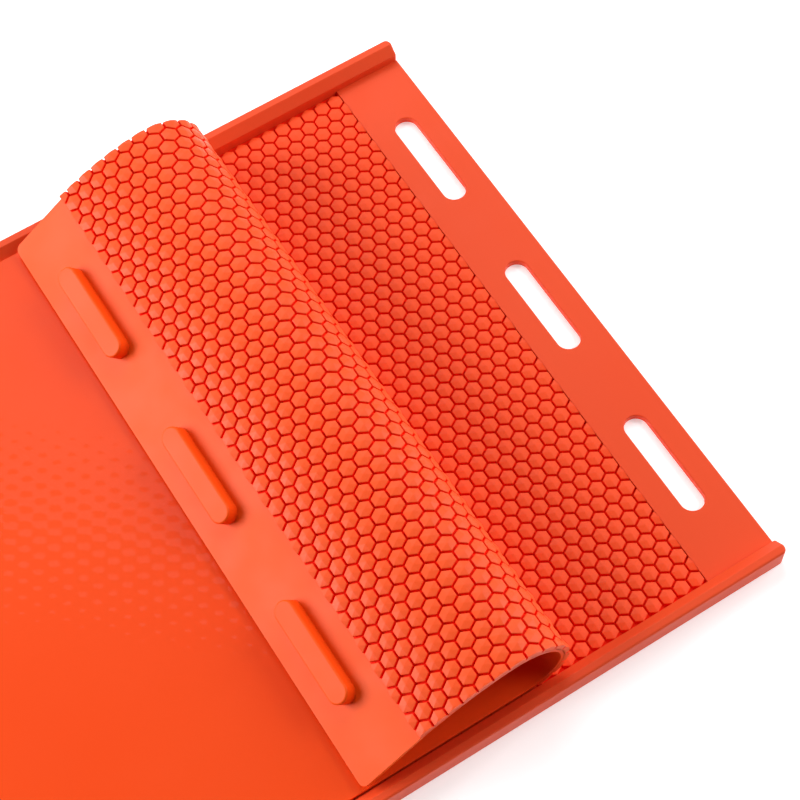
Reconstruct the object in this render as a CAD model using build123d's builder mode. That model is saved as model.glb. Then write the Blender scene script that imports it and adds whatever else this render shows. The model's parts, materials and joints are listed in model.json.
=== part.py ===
from build123d import *
import math
import os

# Tire traction mats: a rimmed base tray mat and a rimless cover mat that lies in it, lug face down.
# Millimetres. +X runs along the mats towards the slotted end, +Y across them, +Z up.
# The origin is under the middle of the base mat, on the ground.

# Lug pattern: hexagons with two flats facing along X, in rows that run along X.
lug_pitch = 7.0
row_spacing = lug_pitch * math.sqrt(3) / 2
base_rows = 47
field_columns = 76
lug_height = 2.3

# Base mat
floor_thickness = 1.5
base_flange_thickness = 3.2
flange_length = 32.5
rim_height = 11.0
rim_land_width = 3.5
rim_slope_run = 4.2
rim_slope_rise = 3.8
rim_slope_radius = 0.6
rim_edge_radius = 1.0
rim_end_radius = 2.5
rim_clearance_to_lugs = 0.43

# Cover mat
cover_side_gap = 0.5
cover_web_thickness = 2.2
cover_flange_thickness = 2.0
cover_corner_radius = 3.0
lug_face_gap = 0.3
moulded_edge_radius = 0.5

# Slots in the base flange and the pegs on the cover flange that plug into them
slot_count = 3
slot_pitch = 90.0
slot_length = 50.0
slot_width = 10.8
peg_fit_gap = 0.6
peg_ground_gap = 0.3
peg_edge_radius = 0.8

# The cover's free end is curled up and back over itself. The curl is a chain of strips, hinged on the
# smooth back face, which is the inside of the curl. Each zone is its length, its turn in degrees and
# the number of equal strips in it.
bend_zones = [(20.0, 84.2, 2), (38.0, 103.0, 4), (42.8, 28.2, 2)]
strip_end_gap = 0.1
cover_shift = 2 * lug_pitch

# Worked out from the above
field_length = field_columns * lug_pitch
mat_length = field_length + 2 * flange_length
lug_corner = lug_pitch / math.sqrt(3)
inner_half_width = (base_rows - 1) / 2 * row_spacing + lug_corner + rim_clearance_to_lugs
rim_width = rim_slope_run + rim_land_width
outer_half_width = inner_half_width + rim_width
field_end = field_length / 2
mat_end = mat_length / 2
base_tip_height = floor_thickness + lug_height
cover_tip_height = base_tip_height + lug_face_gap
cover_thickness = lug_height + cover_web_thickness
cover_back_height = cover_tip_height + cover_thickness
cover_half_width = inner_half_width - cover_side_gap
slot_centre = field_end + flange_length / 2
peg_width = slot_width - 2 * peg_fit_gap
peg_length = slot_length - 2 * peg_fit_gap
peg_height = cover_back_height - cover_flange_thickness - peg_ground_gap
curl_length = sum(zone_length for zone_length, _, _ in bend_zones)
curl_start = field_end - curl_length + cover_shift


def turn_at(distance):
    """Degrees that the curl has turned, this far along its back face."""
    turned = 0.0
    for zone_length, zone_turn, _ in bend_zones:
        turned += zone_turn * min(max(distance / zone_length, 0), 1)
        distance -= zone_length
    return turned


# Where each strip starts on the back face, and its direction, as (x, z, degrees)
strip_lengths = [length / count for length, _, count in bend_zones for _ in range(count)]
strip_starts = []
x, z, distance = curl_start, cover_back_height, 0.0
for strip_length in strip_lengths:
    direction = turn_at(distance + strip_length / 2)
    strip_starts.append((x, z, direction))
    x += strip_length * math.cos(math.radians(direction))
    z += strip_length * math.sin(math.radians(direction))
    distance += strip_length
flange_direction = turn_at(curl_length)
flange_start = (x, z, flange_direction)


def back_face(start):
    """The back face's plane at a point of the curl: X along it, Y across it, Z away from the lugs."""
    start_x, start_z, degrees = start
    heading = Vector(math.cos(math.radians(degrees)), 0, math.sin(math.radians(degrees)))
    normal = Vector(-math.sin(math.radians(degrees)), 0, math.cos(math.radians(degrees)))
    return Plane(origin=(start_x, 0, start_z), x_dir=heading, z_dir=normal)


os.makedirs("parts", exist_ok=True)


def save(builder, name):
    builder.part.label = name
    export_step(builder.part, f"parts/{name}.step")


# ---------------------------------------------------------------- base mat

with BuildPart() as base_floor:
    with BuildSketch(Plane.XY):
        Rectangle(field_length, 2 * inner_half_width)
    extrude(amount=floor_thickness)
save(base_floor, "base_floor")

# The lug field stands on the floor and fills the height up to the lugs' tips.
with BuildPart() as base_lug_field:
    with BuildSketch(Plane.XY.offset(floor_thickness)):
        Rectangle(field_length, 2 * inner_half_width)
    extrude(amount=lug_height)
save(base_lug_field, "base_lug_field")

with BuildPart() as base_flange_slotted:
    with BuildSketch(Plane.XY):
        with Locations((slot_centre, 0)):
            Rectangle(flange_length, 2 * inner_half_width)
            with GridLocations(0, slot_pitch, 1, slot_count):
                SlotOverall(slot_length, slot_width, rotation=90, mode=Mode.SUBTRACT)
    extrude(amount=base_flange_thickness)
    flange_top = base_flange_slotted.faces().sort_by(Axis.Z)[-1]
    slot_mouths = [wire.edges() for wire in flange_top.inner_wires()]
    fillet(slot_mouths, moulded_edge_radius)
    free_edge = base_flange_slotted.faces().sort_by(Axis.Z)[-1].edges().group_by(Axis.X)[-1]
    fillet(free_edge, moulded_edge_radius)
save(base_flange_slotted, "base_flange_slotted")

with BuildPart() as base_flange_plain:
    with BuildSketch(Plane.XY):
        with Locations((-slot_centre, 0)):
            Rectangle(flange_length, 2 * inner_half_width)
    extrude(amount=base_flange_thickness)
    free_edge = base_flange_plain.faces().sort_by(Axis.Z)[-1].edges().group_by(Axis.X)[0]
    fillet(free_edge, moulded_edge_radius)
save(base_flange_plain, "base_flange_plain")

# Each rim has an upright inner wall, a slope, a flat land and an upright outer wall.
with BuildPart() as base_rim_left:
    with BuildSketch(Plane.YZ.offset(-mat_end)) as rim_profile:
        with BuildLine():
            Polyline(
                (inner_half_width, 0),
                (inner_half_width, rim_height - rim_slope_rise),
                (inner_half_width + rim_slope_run, rim_height),
                (outer_half_width, rim_height),
                (outer_half_width, 0),
                close=True,
            )
        make_face()
        slope_ends = rim_profile.vertices().group_by(Axis.Y)[1:]
        fillet([slope_ends[0][0], slope_ends[1].sort_by(Axis.X)[0]], rim_slope_radius)
    extrude(amount=mat_length)
    outer_corners = base_rim_left.edges().filter_by(Axis.Z).group_by(Axis.Y)[-1]
    fillet(outer_corners, rim_end_radius)
    top_outer_edge = base_rim_left.faces().sort_by(Axis.Z)[-1].edges().group_by(Axis.Y)[-1]
    fillet(top_outer_edge, rim_edge_radius)
save(base_rim_left, "base_rim_left")

with BuildPart() as base_rim_right:
    mirror(base_rim_left.part, about=Plane.XZ)
save(base_rim_right, "base_rim_right")

# ---------------------------------------------------------------- cover mat, the part that lies flat

cover_left_end = cover_shift - mat_end
cover_field_start = cover_shift - field_end
flat_length = curl_start - cover_field_start

with BuildPart() as cover_web:
    with BuildSketch(Plane.XY.offset(cover_tip_height)):
        with Locations((cover_field_start, 0)):
            Rectangle(
                flat_length - strip_end_gap,
                2 * cover_half_width,
                align=(Align.MIN, Align.CENTER),
            )
    extrude(amount=cover_thickness)
save(cover_web, "cover_web")

with BuildPart() as cover_flange_plain:
    with BuildSketch(Plane.XY.offset(cover_back_height)):
        with Locations((cover_left_end + flange_length / 2, 0)):
            Rectangle(flange_length, 2 * cover_half_width)
    extrude(amount=-cover_flange_thickness)
    end_corners = cover_flange_plain.edges().filter_by(Axis.Z).group_by(Axis.X)[0]
    fillet(end_corners, cover_corner_radius)
save(cover_flange_plain, "cover_flange_plain")

# ---------------------------------------------------------------- cover mat, the curled end

for number, (start, strip_length) in enumerate(zip(strip_starts, strip_lengths), start=1):
    with BuildPart() as cover_strip:
        with BuildSketch(back_face(start)):
            with Locations((strip_length / 2, 0)):
                Rectangle(strip_length - 2 * strip_end_gap, 2 * cover_half_width)
        extrude(amount=-cover_thickness)
    save(cover_strip, f"cover_strip_{number:02d}")

flange_plane = back_face(flange_start)
flange_heading = Axis(flange_plane.origin, flange_plane.x_dir)
peg_heading = Axis(flange_plane.origin, -flange_plane.z_dir)

with BuildPart() as cover_flange_pegged:
    with BuildSketch(flange_plane):
        with Locations((strip_end_gap, 0)):
            Rectangle(
                flange_length - strip_end_gap,
                2 * cover_half_width,
                align=(Align.MIN, Align.CENTER),
            )
    extrude(amount=-cover_flange_thickness)
    free_corners = cover_flange_pegged.edges().filter_by(peg_heading).group_by(flange_heading)[-1]
    fillet(free_corners, cover_corner_radius)
save(cover_flange_pegged, "cover_flange_pegged")

# The pegs stand on the flange's lug side, each over the slot that it plugs into.
for peg_number in range(slot_count):
    peg_across = (peg_number - (slot_count - 1) / 2) * slot_pitch
    with BuildPart() as cover_peg:
        with BuildSketch(flange_plane.offset(-cover_flange_thickness)):
            with Locations((flange_length / 2, peg_across)):
                SlotOverall(peg_length, peg_width, rotation=90)
        extrude(amount=-peg_height)
        fillet(cover_peg.faces().sort_by(peg_heading)[-1].edges(), peg_edge_radius)
    save(cover_peg, f"cover_peg_{peg_number + 1}")
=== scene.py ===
import json
import math

import bmesh
import bpy
import numpy as np
from mathutils import Matrix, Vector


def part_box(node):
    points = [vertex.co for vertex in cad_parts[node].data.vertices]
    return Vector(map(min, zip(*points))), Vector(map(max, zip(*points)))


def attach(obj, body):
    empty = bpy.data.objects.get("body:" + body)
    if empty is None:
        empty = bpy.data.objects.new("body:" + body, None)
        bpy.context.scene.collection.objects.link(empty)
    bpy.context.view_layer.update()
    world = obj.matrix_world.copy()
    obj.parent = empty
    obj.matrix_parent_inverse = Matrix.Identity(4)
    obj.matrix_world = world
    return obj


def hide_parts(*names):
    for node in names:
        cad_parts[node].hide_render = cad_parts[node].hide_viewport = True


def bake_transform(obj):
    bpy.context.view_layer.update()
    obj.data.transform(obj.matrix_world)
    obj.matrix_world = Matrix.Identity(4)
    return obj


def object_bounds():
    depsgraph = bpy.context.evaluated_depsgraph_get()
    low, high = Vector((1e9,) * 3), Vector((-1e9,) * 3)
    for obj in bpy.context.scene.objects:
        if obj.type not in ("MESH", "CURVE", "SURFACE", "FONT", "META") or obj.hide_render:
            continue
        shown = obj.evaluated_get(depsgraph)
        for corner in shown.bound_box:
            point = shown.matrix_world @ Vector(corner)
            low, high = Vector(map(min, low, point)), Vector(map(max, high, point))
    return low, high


# Tire traction mats: a base mat with a raised rim each side, and a cover mat that lies in it, lug face
# down, with one end curled up and back. Metres, in the CAD's frame: +X along the mats towards the
# slotted end, +Y across them, +Z up. The cover's own length is called u: x where it lies flat.

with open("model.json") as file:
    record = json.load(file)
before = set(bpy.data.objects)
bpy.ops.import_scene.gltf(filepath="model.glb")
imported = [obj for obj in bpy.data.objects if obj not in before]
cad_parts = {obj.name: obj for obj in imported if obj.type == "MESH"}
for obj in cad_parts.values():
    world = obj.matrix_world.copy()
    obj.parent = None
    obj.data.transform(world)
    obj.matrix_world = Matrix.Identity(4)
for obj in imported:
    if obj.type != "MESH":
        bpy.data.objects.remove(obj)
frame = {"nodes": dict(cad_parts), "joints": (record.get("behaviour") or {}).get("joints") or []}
cad_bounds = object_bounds()
nodes = frame["nodes"]

MM = 0.001
ACROSS = np.array([0.0, 1.0, 0.0])
UPWARD = math.pi  # the direction of a mat whose lugs point up

# ---------------------------------------------------------------- sizes

lug_pitch = 7.0 * MM
row_spacing = lug_pitch * math.sqrt(3) / 2

floor_low, floor_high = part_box("base_floor")
lugs_low, lugs_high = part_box("base_lug_field")
web_low, web_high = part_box("cover_web")

base_rows = 47
base_length = floor_high.x - floor_low.x
floor_thickness = floor_high.z - floor_low.z
lug_height = lugs_high.z - lugs_low.z

cover_rows = 48
cover_start = web_low.x
cover_end = cover_start + base_length
cover_half_width = web_high.y
web_thickness = web_high.z - web_low.z - lug_height

# A lug is a hexagon with nearly upright sides, a small bevel and a low six-sided point. Each ring is the
# distance from its middle to its flats, and its height above the mat.
lug_shoulder = 1.72 * MM
lug_wall_top = lug_shoulder - 0.22 * MM
LUG_RINGS = [
    (lug_pitch / 2 - 0.25 * MM, -0.45 * MM),
    (lug_pitch / 2 - 0.46 * MM, lug_wall_top),
    (lug_pitch / 2 - 0.62 * MM, lug_shoulder),
    (0.25 * MM, lug_height - 0.03 * MM),
]
BACK, PAINTED_SHEEN_LUG, PAINTED_SHADE_GROOVE = 0, 1, 2  # places in a piece's list of materials; the lug and groove places take painted sheen and painted shade
FACET_ANGLE = 10  # degrees; edges sharper than this stay crisp
half_lug_gap = 0.25 * MM  # a lug that is cut at a field's end stops this far short of it
edge_corner_radius = 0.3 * MM
CORNER_STEPS = 3  # flat faces round each edge of a mat
curve_step = 0.25 * MM
flange_overlap = 0.1 * MM


# ---------------------------------------------------------------- mesh helpers

def axes(direction):
    """The heading along a mat and the way that its lugs point, for a direction in radians."""
    heading = np.array([math.cos(direction), 0.0, math.sin(direction)])
    outward = np.array([math.sin(direction), 0.0, -math.cos(direction)])
    return heading, outward


def enclosed_volume(vertices, faces):
    """The signed volume inside a closed shell, which is above zero when its faces look outwards."""
    total = 0.0
    for face in faces:
        first = vertices[face[0]]
        for second, third in zip(face[1:], face[2:]):
            total += np.dot(first, np.cross(vertices[second], vertices[third]))
    return total / 6


def slab(stations, half_width, near_depth, far_depth):
    """A closed strip of mat along stations (x, z, direction), between two depths from its back face."""
    profile = []
    corners = [
        (half_width, near_depth, -90),
        (half_width, far_depth, 0),
        (-half_width, far_depth, 90),
        (-half_width, near_depth, 180),
    ]
    for across, depth, first_angle in corners:
        centre_across = across - math.copysign(edge_corner_radius, across)
        inward = 1 if depth == near_depth else -1
        centre_depth = depth + inward * edge_corner_radius
        for step in range(CORNER_STEPS + 1):
            angle = math.radians(first_angle + 90 / CORNER_STEPS * step)
            profile.append((
                centre_across + edge_corner_radius * math.cos(angle),
                centre_depth + edge_corner_radius * math.sin(angle),
            ))
    vertices = []
    for x, z, direction in stations:
        _, outward = axes(direction)
        place = np.array([x, 0.0, z])
        vertices += [place + across * ACROSS + depth * outward for across, depth in profile]
    count = len(profile)
    last = (len(stations) - 1) * count
    faces = [tuple(range(count)), tuple(range(last + count - 1, last - 1, -1))]
    for ring in range(0, last, count):
        for k in range(count):
            after = (k + 1) % count
            faces.append((ring + k, ring + count + k, ring + count + after, ring + after))
    if enclosed_volume(vertices, faces) < 0:
        faces = [face[::-1] for face in faces]
    # The side that the lugs stand on is the floor of the grooves between them, and is painted a deeper
    # red there as painted shade.
    on_lug_side = [depth > far_depth - edge_corner_radius / 2 for _, depth in profile] * len(stations)
    materials = [PAINTED_SHADE_GROOVE if all(on_lug_side[index] for index in face) else BACK for face in faces]
    return np.array(vertices), faces, materials


def lug(cuts):
    """One lug on z = 0, as vertices and triangles. Each cut is a point and the side that it removes."""
    shape = bmesh.new()
    rings = []
    for apothem, height in LUG_RINGS:
        radius = apothem * 2 / math.sqrt(3)
        corners = [math.radians(60 * k) for k in range(6)]
        rings.append([
            shape.verts.new((radius * math.sin(a), radius * math.cos(a), height)) for a in corners
        ])
    shape.faces.new(rings[0])
    top = shape.verts.new((0, 0, lug_height))
    for k in range(6):
        shape.faces.new((rings[-1][k - 1], rings[-1][k], top))
    for lower, upper in zip(rings, rings[1:]):
        for k in range(6):
            shape.faces.new((lower[k - 1], lower[k], upper[k], upper[k - 1]))
    for point, removed_side in cuts:
        everything = shape.verts[:] + shape.edges[:] + shape.faces[:]
        result = bmesh.ops.bisect_plane(
            shape, geom=everything, plane_co=point, plane_no=removed_side, clear_outer=True
        )
        rim = [item for item in result["geom_cut"] if isinstance(item, bmesh.types.BMEdge)]
        bmesh.ops.contextual_create(shape, geom=rim)
    bmesh.ops.recalc_face_normals(shape, faces=shape.faces)
    bmesh.ops.triangulate(shape, faces=shape.faces)
    shape.verts.index_update()
    vertices = np.array([tuple(v.co) for v in shape.verts])
    triangles = np.array([[v.index for v in face.verts] for face in shape.faces])
    tolerance = 0.01 * MM
    # Faces low on the lug, under the top of its wall, take the grooves' painted shade.
    is_low = vertices[:, 2] < lug_wall_top + tolerance
    # The faces above take the lugs' paler colour, which is a painted sheen.
    materials = [PAINTED_SHADE_GROOVE if is_low[triangle].all() else PAINTED_SHEEN_LUG for triangle in triangles]
    shape.free()
    return vertices, triangles, materials


def lug_field(centres, place, cuts=()):
    """The same lug at every centre (u, y). place(u, height) gives x and z on the mat."""
    shape, triangles, materials = lug(cuts)
    vertices = []
    for u, y in centres:
        x, z = place(u + shape[:, 0], shape[:, 2])
        vertices.append(np.column_stack([x, y + shape[:, 1], z]))
    if enclosed_volume(vertices[0], triangles) < 0:
        triangles = triangles[:, ::-1]
    all_faces = [triangles + len(shape) * k for k in range(len(centres))]
    return np.concatenate(vertices), np.concatenate(all_faces).tolist(), materials * len(centres)


def make_piece(name, shells, piece_materials):
    """One mesh object of closed shells, each (vertices, faces, materials by number in finishes)."""
    vertices = []
    faces = []
    materials = []
    for shell_vertices, shell_faces, shell_materials in shells:
        offset = sum(len(part) for part in vertices)
        vertices.append(shell_vertices)
        faces += [[index + offset for index in face] for face in shell_faces]
        materials += shell_materials
    mesh = bpy.data.meshes.new(name)
    mesh.from_pydata(np.concatenate(vertices).tolist(), [], faces)
    for piece_material in piece_materials:
        mesh.materials.append(piece_material)
    mesh.polygons.foreach_set("material_index", materials)
    mesh.polygons.foreach_set("use_smooth", [True] * len(faces))
    mesh.set_sharp_from_angle(angle=math.radians(FACET_ANGLE))
    piece = bpy.data.objects.new(name, mesh)
    bpy.context.scene.collection.objects.link(piece)
    return piece


# ---------------------------------------------------------------- the curl's line

CURVE_SAMPLES = 240
NEARLY_FULL_TURN = 6.0  # radians


def hinge_points():
    """The hinges of the curl on the cover's back face, in order, as (x, z)."""
    hinges = [joint for joint in frame["joints"] if joint["type"] == "hinge"]
    return [np.array([joint["pos_m"][0], joint["pos_m"][2]]) for joint in hinges]


def heading_between(start, end):
    """The direction from one (x, z) point to the next, from 0 to a full turn."""
    return math.atan2(end[1] - start[1], end[0] - start[0]) % math.tau


def bezier(points):
    """A Bezier curve from the first point to the last, as a list of (x, z)."""
    curve = []
    degree = len(points) - 1
    for t in np.linspace(0, 1, CURVE_SAMPLES):
        weights = [math.comb(degree, k) * t**k * (1 - t) ** (degree - k) for k in range(degree + 1)]
        curve.append(sum(weight * point for weight, point in zip(weights, points)))
    return curve


hinges = hinge_points()
last_turn = math.radians(frame["joints"][-1]["range_deg"][1])
tip_direction = heading_between(hinges[-2], hinges[-1]) + last_turn

# The length u at each hinge, and the seams between pieces, halfway between hinges
hinge_u = [hinges[0][0]]
for before, after in zip(hinges, hinges[1:]):
    hinge_u.append(hinge_u[-1] + np.linalg.norm(after - before))
first_half = (hinge_u[1] - hinge_u[0]) / 2
seams = [hinges[0] - np.array([first_half, 0.0])]
seam_u = [hinge_u[0] - first_half]
for index in range(1, len(hinges)):
    seams.append((hinges[index - 1] + hinges[index]) / 2)
    seam_u.append((hinge_u[index - 1] + hinge_u[index]) / 2)
seams.append(hinges[-1])
seam_u.append(hinge_u[-1])

# Each piece of the line turns the corner at its hinge. The last one runs straight into the flange.
last_length = hinge_u[-1] - seam_u[-2]
tip_heading = np.array([math.cos(tip_direction), math.sin(tip_direction)])
line_parts = [[seams[k], hinges[k], seams[k + 1]] for k in range(len(hinges) - 1)]
last_heading = (hinges[-1] - seams[-2]) / last_length
line_parts.append([
    seams[-2],
    seams[-2] + last_heading * last_length / 3,
    hinges[-1] - tip_heading * last_length / 3,
    hinges[-1],
])

line_u, line_x, line_z, line_direction = [], [], [], []
for part, start_u, end_u in zip(line_parts, seam_u, seam_u[1:]):
    curve = np.array(bezier(part))
    steps = np.linalg.norm(np.diff(curve, axis=0), axis=1)
    travelled = np.concatenate([[0.0], np.cumsum(steps)]) / steps.sum()
    slope = np.gradient(curve, travelled, axis=0)
    slope[0] = part[1] - part[0]
    slope[-1] = part[-1] - part[-2]
    line_u += list(start_u + travelled * (end_u - start_u))
    line_x += list(curve[:, 0])
    line_z += list(curve[:, 1])
    line_direction += list(np.arctan2(slope[:, 1], slope[:, 0]) % math.tau)
# An angle just under a full turn is rounding in the level start.
line_direction = [0.0 if angle > NEARLY_FULL_TURN else angle for angle in line_direction]

# The line runs on straight at both ends: over the part that lies flat, and into the flange.
before_start = cover_start - lug_pitch
line_u = [before_start, *line_u, line_u[-1] + lug_pitch]
line_x = [before_start, *line_x, line_x[-1] + lug_pitch * tip_heading[0]]
line_z = [web_high.z, *line_z, line_z[-1] + lug_pitch * tip_heading[1]]
line_direction = [0.0, *line_direction, line_direction[-1]]


def cover_at(u):
    """The place (x, z) and direction of the cover's back face at length u."""
    x = np.interp(u, line_u, line_x)
    z = np.interp(u, line_u, line_z)
    direction = np.interp(u, line_u, line_direction)
    return x, z, direction


def on_cover(u, height):
    """The place (x, z) at length u and this height above the cover's lug side, bent with the mat."""
    x, z, direction = cover_at(u)
    depth = web_thickness + height
    return x + depth * np.sin(direction), z - depth * np.cos(direction)


def on_base(x, height):
    """The place (x, z) at this height above the base mat's lug side."""
    return x, floor_high.z + height


# ---------------------------------------------------------------- materials

# Noise scales are in cycles per metre.
CLOUD_SCALE = 9.0
WAVE_SCALE = 55.0
GRAIN_SCALE = 2600.0
WAVE_HEIGHT = 0.3 * MM
WAVE_STRENGTH = 0.25
GRAIN_HEIGHT = 0.03 * MM
GRAIN_STRENGTH = 0.35
ROUGHNESS_SPREAD = 0.04
LUG_MARK_HEIGHT = 0.02 * MM
LUG_MARKS_FADE_FROM = 0.10  # x, in metres; the marks are gone before the curl
LUG_MARKS_FADE_TO = 0.16

# Each material has a colour and a darker one that clouds through it. The lugs are painted a little paler
# than the smooth rubber as painted sheen, and the grooves are painted a deeper, purer red as painted
# shade, which stands in for light that has been through the rubber.
COVER_COLOURS = ((0.975, 0.103, 0.008), (0.965, 0.095, 0.006))
COVER_BACK_COLOURS = ((0.92, 0.074, 0.008), (0.91, 0.068, 0.006))
COVER_LUG_SHEEN_COLOURS = ((0.975, 0.107, 0.026), (0.965, 0.099, 0.023))
BASE_COLOURS = ((0.86, 0.082, 0.021), (0.85, 0.076, 0.019))
BASE_LUG_SHEEN_COLOURS = ((0.975, 0.088, 0.020), (0.965, 0.080, 0.018))
GROOVE_PAINTED_SHADE_COLOURS = ((0.97, 0.024, 0.004), (0.96, 0.018, 0.003))
COVER_ROUGHNESS = 0.42
BASE_ROUGHNESS = 0.45
GROOVE_ROUGHNESS = 0.6
RUBBER_SHINE = 0.22
SMOOTH_COVER_SHINE = 0.18
GROOVE_SHINE = 0.1


class Nodes:
    """Short calls for building a material's nodes."""

    def __init__(self, name):
        self.material = bpy.data.materials.new(name)
        self.material.use_nodes = True
        self.tree = self.material.node_tree
        self.shader = self.tree.nodes["Principled BSDF"]
        self.place = self.add("ShaderNodeTexCoord").outputs["Object"]

    def add(self, kind, **settings):
        node = self.tree.nodes.new(kind)
        for key, value in settings.items():
            setattr(node, key, value)
        return node

    def link(self, source, target):
        self.tree.links.new(source, target)

    def noise(self, scale, detail=2.0):
        node = self.add("ShaderNodeTexNoise")
        node.inputs["Scale"].default_value = scale
        node.inputs["Detail"].default_value = detail
        self.link(self.place, node.inputs["Vector"])
        return node.outputs["Fac"]

    def spread(self, source, low, high, from_low=0.3, from_high=0.7):
        """The source's usual range, stretched to run from low to high."""
        node = self.add("ShaderNodeMapRange")
        for key, value in (
            ("From Min", from_low), ("From Max", from_high), ("To Min", low), ("To Max", high),
        ):
            node.inputs[key].default_value = value
        self.link(source, node.inputs["Value"])
        return node.outputs["Result"]

    def mix(self, factor, first, second):
        node = self.add("ShaderNodeMix", data_type="RGBA")
        self.link(factor, node.inputs["Factor"])
        colours = [socket for socket in node.inputs if socket.type == "RGBA"]
        for socket, value in zip(colours, (first, second)):
            if isinstance(value, tuple):
                socket.default_value = (*value, 1.0)
            else:
                self.link(value, socket)
        return [socket for socket in node.outputs if socket.type == "RGBA"][0]

    def bump(self, height, distance, strength, under=None):
        node = self.add("ShaderNodeBump")
        node.inputs["Distance"].default_value = distance
        node.inputs["Strength"].default_value = strength
        self.link(height, node.inputs["Height"])
        if under is not None:
            self.link(under, node.inputs["Normal"])
        return node.outputs["Normal"]


def rubber(name, colour, darker, roughness, shine=RUBBER_SHINE):
    """Satin moulded rubber: cloudy colour, fine moulded grain and faint unevenness in its sheen."""
    m = Nodes(name)
    clouds = m.noise(CLOUD_SCALE, detail=3.0)
    grain = m.noise(GRAIN_SCALE)
    waves = m.noise(WAVE_SCALE)
    m.link(m.mix(m.spread(clouds, 0.0, 1.0), colour, darker), m.shader.inputs["Base Color"])
    smoother = roughness - ROUGHNESS_SPREAD
    rougher = roughness + ROUGHNESS_SPREAD
    m.link(m.spread(waves, smoother, rougher), m.shader.inputs["Roughness"])
    wavy = m.bump(waves, WAVE_HEIGHT, WAVE_STRENGTH)
    m.link(m.bump(grain, GRAIN_HEIGHT, GRAIN_STRENGTH, wavy), m.shader.inputs["Normal"])
    m.shader.inputs["IOR"].default_value = 1.45
    m.shader.inputs["Specular IOR Level"].default_value = shine
    return m


def back_rubber(name):
    """The rubber of the cover's smooth side, with a faint shine and a faint mark behind each lug."""
    m = rubber(name, *COVER_BACK_COLOURS, COVER_ROUGHNESS, SMOOTH_COVER_SHINE)
    middle = m.add("ShaderNodeVectorMath", operation="SUBTRACT")
    middle.inputs[1].default_value = (cover_start, (cover_rows - 1) / 2 * row_spacing, 0)
    m.link(m.place, middle.inputs[0])
    # Three waves at 60 degrees to each other peak behind the middle of each lug.
    radians_per_metre = math.tau / row_spacing
    marks = None
    for degrees in (90, 30, -30):
        angle = math.radians(degrees)
        wave = m.add("ShaderNodeVectorMath", operation="DOT_PRODUCT")
        wave.inputs[1].default_value = (
            radians_per_metre * math.cos(angle), radians_per_metre * math.sin(angle), 0
        )
        m.link(middle.outputs["Vector"], wave.inputs[0])
        cosine = m.add("ShaderNodeMath", operation="COSINE")
        m.link(wave.outputs["Value"], cosine.inputs[0])
        if marks is None:
            marks = cosine.outputs[0]
        else:
            total = m.add("ShaderNodeMath", operation="ADD")
            m.link(marks, total.inputs[0])
            m.link(cosine.outputs[0], total.inputs[1])
            marks = total.outputs[0]
    split = m.add("ShaderNodeSeparateXYZ")
    m.link(m.place, split.inputs[0])
    along = split.outputs["X"]
    before_curl = m.spread(along, 1.0, 0.0, LUG_MARKS_FADE_FROM, LUG_MARKS_FADE_TO)
    after_flange = m.spread(along, 0.0, 1.0, cover_start, cover_start + lug_pitch)
    for part in (before_curl, after_flange):
        faded = m.add("ShaderNodeMath", operation="MULTIPLY")
        m.link(marks, faded.inputs[0])
        m.link(part, faded.inputs[1])
        marks = faded.outputs[0]
    m.link(m.bump(marks, LUG_MARK_HEIGHT, 1.0), m.shader.inputs["Coat Normal"])
    m.shader.inputs["Coat Weight"].default_value = 0.2
    m.shader.inputs["Coat Roughness"].default_value = 0.02
    m.shader.inputs["Coat IOR"].default_value = 1.4
    return m


base_rubber = rubber("base_rubber", *BASE_COLOURS, BASE_ROUGHNESS).material
# Painted sheen: the base mat's lugs are painted a little paler than its rubber.
base_lug_painted_sheen_rubber = rubber("base_lug_painted_sheen_rubber", *BASE_LUG_SHEEN_COLOURS, BASE_ROUGHNESS).material
cover_rubber = rubber("cover_rubber", *COVER_COLOURS, COVER_ROUGHNESS, SMOOTH_COVER_SHINE).material
# Painted sheen: the cover's lugs are painted a little paler than its rubber.
cover_lug_painted_sheen_rubber = rubber("cover_lug_painted_sheen_rubber", *COVER_LUG_SHEEN_COLOURS, COVER_ROUGHNESS).material
cover_back_rubber = back_rubber("cover_back_rubber").material
# Painted shade: the grooves are painted a deeper, purer red.
groove_painted_shade_rubber = rubber("groove_painted_shade_rubber", *GROOVE_PAINTED_SHADE_COLOURS, GROOVE_ROUGHNESS, GROOVE_SHINE).material
BASE_RUBBER_AND_PAINTED_LIGHT = [base_rubber, base_lug_painted_sheen_rubber, groove_painted_shade_rubber]
COVER_RUBBER_AND_PAINTED_LIGHT = [cover_back_rubber, cover_lug_painted_sheen_rubber, groove_painted_shade_rubber]

for name, node in nodes.items():
    piece_material = base_rubber if name.startswith("base") else cover_rubber
    if name == "cover_flange_plain":
        piece_material = cover_back_rubber
    node.data.materials.clear()
    node.data.materials.append(piece_material)

# ---------------------------------------------------------------- base mat

base_stations = [(floor_high.x, floor_low.z, UPWARD), (floor_low.x, floor_low.z, UPWARD)]
base_columns = round(base_length / lug_pitch)
whole_lugs = []
first_halves = []
last_halves = []
for row in range(base_rows):
    y = ((base_rows - 1) / 2 - row) * row_spacing
    if row % 2 == 0:
        for column in range(base_columns):
            x = floor_low.x + (column + 0.5) * lug_pitch
            whole_lugs.append((x, y))
    else:
        for column in range(1, base_columns):
            x = floor_low.x + column * lug_pitch
            whole_lugs.append((x, y))
        first_halves.append((floor_low.x, y))
        last_halves.append((floor_high.x, y))

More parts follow.
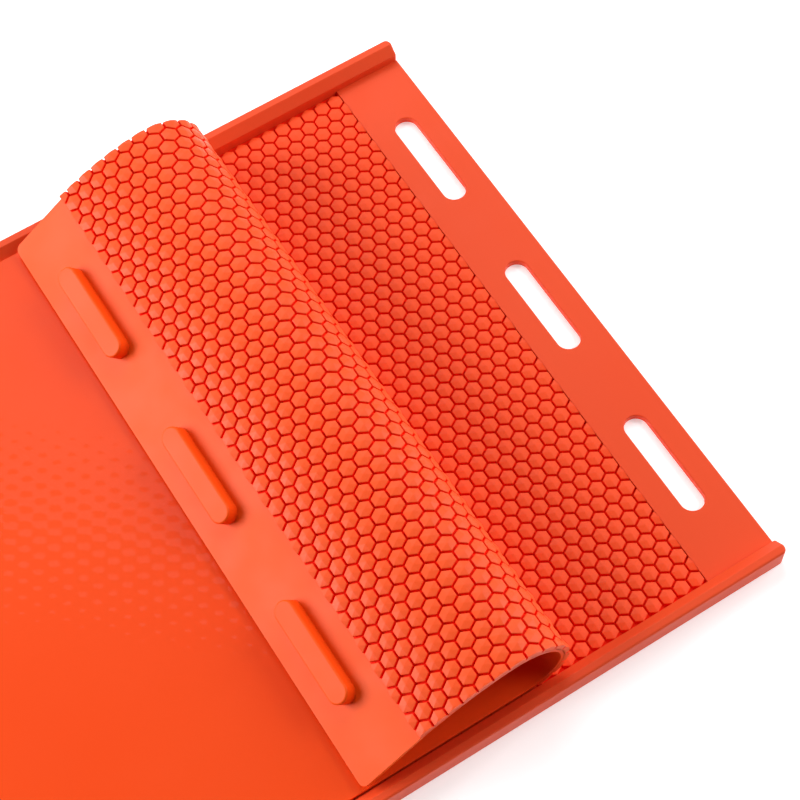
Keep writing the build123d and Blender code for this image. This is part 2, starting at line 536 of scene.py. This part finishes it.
cut_front = [((half_lug_gap, 0, 0), (-1, 0, 0))]
cut_back = [((-half_lug_gap, 0, 0), (1, 0, 0))]
base_field = make_piece(
    "base_field",
    [
        slab(base_stations, floor_high.y, 0.0, floor_thickness),
        lug_field(whole_lugs, on_base),
        lug_field(first_halves, on_base, cut_front),
        lug_field(last_halves, on_base, cut_back),
    ],
    BASE_RUBBER_AND_PAINTED_LIGHT,
)
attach(base_field, "base_mat")
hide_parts("base_floor", "base_lug_field")

# ---------------------------------------------------------------- cover mat

cover_columns = round((cover_end - cover_start) / lug_pitch)
edge_row_y = (cover_rows - 1) / 2 * row_spacing
edge_cut = cover_half_width - edge_row_y
cut_far_side = [((0, edge_cut, 0), (0, 1, 0))]
cut_near_side = [((0, -edge_cut, 0), (0, -1, 0))]


def cover_lugs(start_u, end_u):
    """The cover's lugs whose middles are between two lengths, grouped by how they are cut."""
    groups = {}
    for row in range(cover_rows):
        y = edge_row_y - row * row_spacing
        side_cuts = []
        if row == 0:
            side_cuts = cut_far_side
        elif row == cover_rows - 1:
            side_cuts = cut_near_side
        offset = 0.5 * (row % 2)
        for column in range(cover_columns + 1 - row % 2):
            u = cover_start + (column + offset) * lug_pitch
            if not start_u <= u < end_u:
                continue
            end_cuts = []
            if row % 2 == 0 and column == 0:
                end_cuts = cut_front
            elif row % 2 == 0 and column == cover_columns:
                end_cuts = cut_back
            cuts = end_cuts + side_cuts
            _, centres = groups.setdefault(str(cuts), (cuts, []))
            centres.append((u, y))
    return [lug_field(centres, on_cover, cuts) for cuts, centres in groups.values()]


flat_stations = [cover_at(cover_start), cover_at(seam_u[0])]
cover_field = make_piece(
    "cover_field",
    [slab(flat_stations, cover_half_width, 0.0, web_thickness)] + cover_lugs(cover_start, seam_u[0]),
    COVER_RUBBER_AND_PAINTED_LIGHT,
)
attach(cover_field, "cover_flat")
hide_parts("cover_web")

for k in range(len(hinges)):
    start_u = seam_u[k]
    end_u = seam_u[k + 1]
    steps = math.ceil((end_u - start_u) / curve_step)
    stations = [cover_at(u) for u in np.linspace(start_u, end_u, steps + 1)]
    last_lug_u = end_u
    if k == len(hinges) - 1:
        # The last lugs have their middles on the field's end itself, so the limit is past it.
        last_lug_u = end_u + lug_pitch / 4
        x, z, direction = stations[-1]
        heading, _ = axes(direction)
        stations.append((x + flange_overlap * heading[0], z + flange_overlap * heading[2], direction))
    curl_piece = make_piece(
        f"cover_curl_{k + 1}",
        [slab(stations, cover_half_width, 0.0, web_thickness)] + cover_lugs(start_u, last_lug_u),
        COVER_RUBBER_AND_PAINTED_LIGHT,
    )
    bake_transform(curl_piece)
    if k > 0:
        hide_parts(f"cover_strip_{k:02d}")

# ---------------------------------------------------------------- floor, light and camera

floor_mesh = bpy.data.meshes.new("studio_floor")
floor_half_side = 6.0
floor_z = cad_bounds[0].z - 0.1 * MM
floor_signs = [(-1, -1), (1, -1), (1, 1), (-1, 1)]
floor_corners = [(floor_half_side * x, floor_half_side * y, floor_z) for x, y in floor_signs]
floor_mesh.from_pydata(floor_corners, [], [(0, 1, 2, 3)])
studio_floor = bpy.data.objects.new("studio_floor", floor_mesh)
bpy.context.scene.collection.objects.link(studio_floor)
paper = bpy.data.materials.new("white_paper")
paper.use_nodes = True
paper_shader = paper.node_tree.nodes["Principled BSDF"]
paper_shader.inputs["Base Color"].default_value = (0.93, 0.93, 0.93, 1.0)
paper_shader.inputs["Roughness"].default_value = 0.9
paper_shader.inputs["Emission Color"].default_value = (1.0, 1.0, 1.0, 1.0)
paper_shader.inputs["Emission Strength"].default_value = 0.4
floor_mesh.materials.append(paper)

world = bpy.data.worlds.new("studio")
bpy.context.scene.world = world
world.use_nodes = True
background = world.node_tree.nodes["Background"]
background.inputs["Color"].default_value = (1.0, 1.0, 1.0, 1.0)
# The world is seen as white, and lights the object only faintly.
light_path = world.node_tree.nodes.new("ShaderNodeLightPath")
brightness = world.node_tree.nodes.new("ShaderNodeMapRange")
brightness.inputs["To Min"].default_value = 0.03
brightness.inputs["To Max"].default_value = 1.0
world.node_tree.links.new(light_path.outputs["Is Camera Ray"], brightness.inputs["Value"])
world.node_tree.links.new(brightness.outputs["Result"], background.inputs["Strength"])


def direction_from(azimuth, elevation):
    """A unit vector towards a light or camera; azimuth 0 is on the -Y side and 90 on the +X side."""
    turn = math.radians(azimuth)
    rise = math.radians(elevation)
    flat = math.cos(rise)
    return np.array([flat * math.sin(turn), -flat * math.cos(turn), math.sin(rise)])


def look(obj, position, target, roll=0.0):
    """Puts obj at position, facing target, upright and then rolled by this many radians."""
    back = np.array(position) - np.array(target)
    back /= np.linalg.norm(back)
    right = np.cross([0.0, 0.0, 1.0], back)
    right /= np.linalg.norm(right)
    up = np.cross(back, right)
    rolled_right = math.cos(roll) * right + math.sin(roll) * up
    rolled_up = math.cos(roll) * up - math.sin(roll) * right
    columns = [rolled_right, rolled_up, back, np.array(position)]
    rows = [[column[row] for column in columns] for row in range(3)]
    obj.matrix_world = Matrix(rows + [[0, 0, 0, 1]])


LIGHT_TARGET = (0.1, 0.0, 0.0)


def softbox(name, azimuth, elevation, distance, size, power, roll=0.0):
    """A square area light of this side and power, facing the mats; angles are in degrees."""
    data = bpy.data.lights.new(name, "AREA")
    data.shape = "SQUARE"
    data.size = size
    data.energy = power
    light = bpy.data.objects.new(name, data)
    bpy.context.scene.collection.objects.link(light)
    look(light, distance * direction_from(azimuth, elevation), LIGHT_TARGET, math.radians(roll))


softbox("key_softbox", azimuth=-120, elevation=25, distance=1.5, size=1.0, power=29.0)
# This one's upper edge is mirrored in the cover's back, which is where the marks of the lugs show.
softbox("back_softbox", azimuth=153, elevation=46, distance=2.0, size=1.4, power=17.0, roll=-18)
softbox("right_softbox", azimuth=80, elevation=30, distance=2.0, size=1.4, power=31.0)

# The camera is at the photograph's viewing angle.
camera_data = bpy.data.cameras.new("camera")
camera_data.lens = 94.14
camera_data.sensor_width = 36.0
camera_data.clip_start = 0.02
camera = bpy.data.objects.new("camera", camera_data)
bpy.context.scene.collection.objects.link(camera)
camera_target = np.array([0.2041, -0.0084, 0.0086])
camera_distance = 0.878
camera_azimuth = -30.54
camera_elevation = 62.72
camera_roll = math.radians(-1.98)
camera_place = camera_target + camera_distance * direction_from(camera_azimuth, camera_elevation)
look(camera, camera_place, camera_target, camera_roll)
bpy.context.scene.camera = camera
bpy.context.scene.view_settings.view_transform = "Standard"
